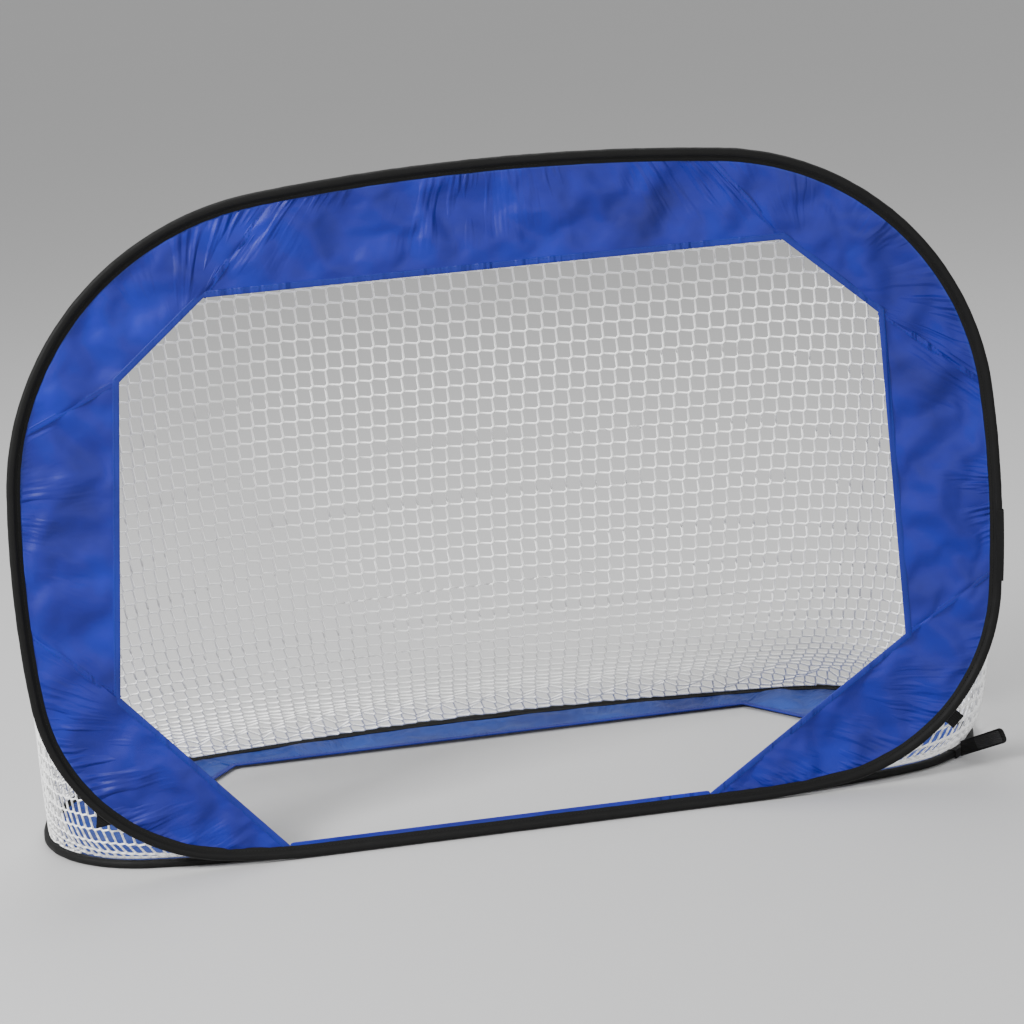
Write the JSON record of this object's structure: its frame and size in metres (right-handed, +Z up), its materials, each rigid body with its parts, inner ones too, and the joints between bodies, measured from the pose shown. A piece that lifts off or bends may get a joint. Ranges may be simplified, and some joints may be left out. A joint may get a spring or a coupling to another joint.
{
  "type": "pop up goal",
  "caption": "Folding lawn goal: sprung front hoop with fabric mouth panels hinged at its sill to a ground hoop, with a knotless net between them.",
  "frame": {"origin": "on the ground, under the middle of the base hoop's sill sleeve", "axes": "+Z up, +X to the right seen from in front, -Y out of the mouth"},
  "size_m": [1.2016, 0.478, 0.824],
  "materials": {
    "spring_steel": "blued flat spring steel",
    "ferrule_metal": "crimped, satin",
    "binding_black": "woven polyester tape, slight sheen",
    "panel_blue": "coated woven polyester, satin sheen",
    "hem_blue": "folded and topstitched",
    "net_white": "knotless polyester twine",
    "webbing_black": "ribbed nylon webbing",
    "hook_tape": "hook side of hook-and-loop tape"
  },
  "bodies": {
    "base_hoop": {"base_spring_strip": "spring_steel", "base_strip_ferrule": "ferrule_metal", "base_binding": "binding_black", "base_front_left_corner": "panel_blue", "base_left_band": "panel_blue", "base_rear_left_corner": "panel_blue", "base_rear_band": "panel_blue", "base_rear_right_corner": "panel_blue", "base_right_band": "panel_blue", "base_front_right_corner": "panel_blue", "base_sill_band": "panel_blue", "base_hem_tape": "hem_blue", "sill_seam_tape": "webbing_black", "strap_anchor": "webbing_black", "goal_net": "net_white"},
    "front_hoop": {"front_spring_strip": "spring_steel", "front_strip_ferrule": "ferrule_metal", "front_binding": "binding_black", "front_binding_join": "binding_black", "front_lower_left_corner": "panel_blue", "front_left_band": "panel_blue", "front_upper_left_corner": "panel_blue", "front_top_band": "panel_blue", "front_upper_right_corner": "panel_blue", "front_right_band": "panel_blue", "front_lower_right_corner": "panel_blue", "front_sill_band": "panel_blue", "front_hem_tape": "hem_blue", "front_left_web_tab": "webbing_black", "front_right_web_tab": "webbing_black"},
    "closing_strap": {"strap_tail": "webbing_black", "strap_hook_patch": "hook_tape"}
  },
  "joints": [
    {"name": "front_hoop_fold", "type": "hinge", "parent": "base_hoop", "child": "front_hoop", "pos_m": [0, -0.0055, 0.0125], "axis": [-1, 0, 0], "range_deg": [0, 90], "stiffness_Nm_per_rad": 1.5, "springref_deg": -20.05, "deforming": ["goal_net"]},
    {"name": "strap_swing", "type": "hinge", "parent": "base_hoop", "child": "closing_strap", "pos_m": [0.55488, 0.0594, 0.01], "axis": [0, 0, 1], "range_deg": [-35, 35]}
  ]
}
